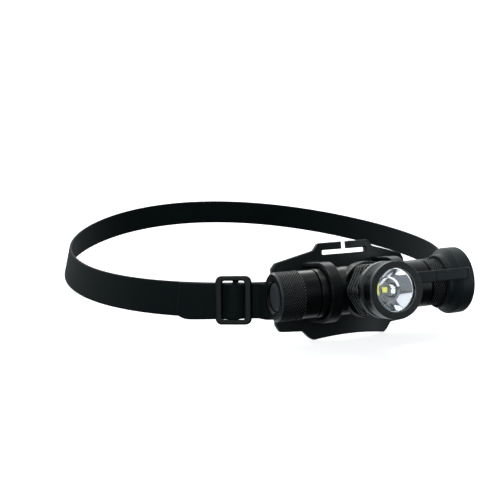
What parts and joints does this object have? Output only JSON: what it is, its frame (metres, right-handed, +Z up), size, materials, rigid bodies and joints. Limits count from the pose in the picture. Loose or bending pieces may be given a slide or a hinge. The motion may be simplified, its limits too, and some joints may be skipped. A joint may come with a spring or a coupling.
{
  "type": "helmet safety headlamp",
  "caption": "Right-angle helmet headlamp: knurled tube light with finned head, tilting in a curved bracket on a rubber strap loop, with a tethered rubber face cap.",
  "frame": {"origin": "centre of the overall box on the floor", "axes": "+X from the switch end of the tube to the face cap, +Y from the light towards the strap's rear, +Z up; the beam leaves along -Y"},
  "size_m": [0.2409, 0.3354, 0.0511],
  "materials": {
    "bracket_plastic": "satin moulded",
    "strap_rubber": "matte",
    "buckle_plastic": "satin moulded",
    "anodised_black": "black anodised",
    "reflector_mirror": "polished",
    "lens_glass": "clear",
    "seal_rubber": "matte",
    "ring_plastic": "matte",
    "phosphor": "satin",
    "package_white": "glossy",
    "board_copper": "white solder mask",
    "board_green": "solder mask",
    "component_black": "matte",
    "component_white": "matte",
    "wire_red": "insulated wire",
    "cell_sleeve": "shrink sleeve",
    "contact_brass": "plated",
    "boot_rubber": "matte",
    "cap_rubber": "matte",
    "diffuser_plastic": "translucent"
  },
  "bodies": {
    "bracket": {"mounting_bracket": "bracket_plastic", "head_strap": "strap_rubber"},
    "left_adjuster": {"left_buckle": "buckle_plastic"},
    "right_adjuster": {"right_buckle": "buckle_plastic"},
    "light": {"battery_tube": "anodised_black", "heat_sink": "anodised_black", "reflector": "reflector_mirror", "centring_ring": "ring_plastic", "led_package": "package_white", "led_emitter": "phosphor", "led_board": "board_copper", "driver_board": "board_green", "driver_components": "component_black", "lead_wires": "wire_red", "battery_cell": "cell_sleeve", "battery_button": "contact_brass", "tail_ring": "seal_rubber", "end_ring": "seal_rubber", "head_ring": "seal_rubber", "tether_ring": "cap_rubber"},
    "tail_switch": {"switch_module": "component_black", "boot_retainer": "anodised_black", "tail_spring": "contact_brass"},
    "tail_cap": {"tail_cap": "anodised_black"},
    "button": {"switch_boot": "boot_rubber", "switch_plunger": "component_white"},
    "end_contacts": {"end_contact": "contact_brass", "end_spring": "contact_brass"},
    "end_cap": {"end_cap": "anodised_black"},
    "lens_stack": {"lens": "lens_glass", "lens_gasket": "seal_rubber"},
    "bezel": {"bezel": "anodised_black"},
    "face_cap": {"face_cap": "cap_rubber", "diffuser": "diffuser_plastic", "tether_strap": "cap_rubber"}
  },
  "joints": [
    {"name": "left_adjuster_slide", "type": "hinge", "parent": "bracket", "child": "left_adjuster", "pos_m": [0.00513, -0.00041, 0.01667], "axis": [-0.0454, 0.0542, 0.9975], "range_deg": [-3, 0.8]},
    {"name": "right_adjuster_slide", "type": "hinge", "parent": "bracket", "child": "right_adjuster", "pos_m": [-0.00513, -0.00041, 0.01667], "axis": [0.0454, 0.0543, 0.9975], "range_deg": [-0.8, 3]},
    {"name": "light_tilt", "type": "hinge", "parent": "bracket", "child": "light", "pos_m": [0, -0.12677, 0.02849], "axis": [1, 0, 0], "range_deg": [-75, 35]},
    {"name": "tail_cap_travel", "type": "slide", "parent": "light", "child": "tail_switch", "axis": [-1, 0, 0], "range_m": [0, 0.0045]},
    {"name": "tail_cap_turn", "type": "hinge", "parent": "tail_switch", "child": "tail_cap", "pos_m": [0, -0.12677, 0.02849], "axis": [-1, 0, 0], "range_deg": [0, 1081]},
    {"name": "button_press", "type": "slide", "parent": "tail_switch", "child": "button", "axis": [1, 0, 0], "range_m": [0, 0.0012], "stiffness_N_per_m": 2500},
    {"name": "end_cap_travel", "type": "slide", "parent": "light", "child": "end_contacts", "axis": [1, 0, 0], "range_m": [0, 0.0045]},
    {"name": "end_cap_turn", "type": "hinge", "parent": "end_contacts", "child": "end_cap", "pos_m": [0, -0.12677, 0.02849], "axis": [1, 0, 0], "range_deg": [0, 1081]},
    {"name": "face_cap_pull", "type": "slide", "parent": "end_contacts", "child": "face_cap", "axis": [1, 0, 0], "range_m": [0, 0.006], "deforming": ["tether_strap"]},
    {"name": "bezel_travel", "type": "slide", "parent": "light", "child": "lens_stack", "axis": [0, -0.9703, 0.2417], "range_m": [0, 0.0045]},
    {"name": "bezel_turn", "type": "hinge", "parent": "lens_stack", "child": "bezel", "pos_m": [0, -0.12677, 0.02849], "axis": [0, -0.9703, 0.2417], "range_deg": [0, 1081]}
  ],
  "couplings": [
    {"joint": "tail_cap_turn", "follows": "tail_cap_travel", "rad_per_m": 4188.8},
    {"joint": "end_cap_turn", "follows": "end_cap_travel", "rad_per_m": 4188.8},
    {"joint": "bezel_turn", "follows": "bezel_travel", "rad_per_m": 4188.8}
  ]
}
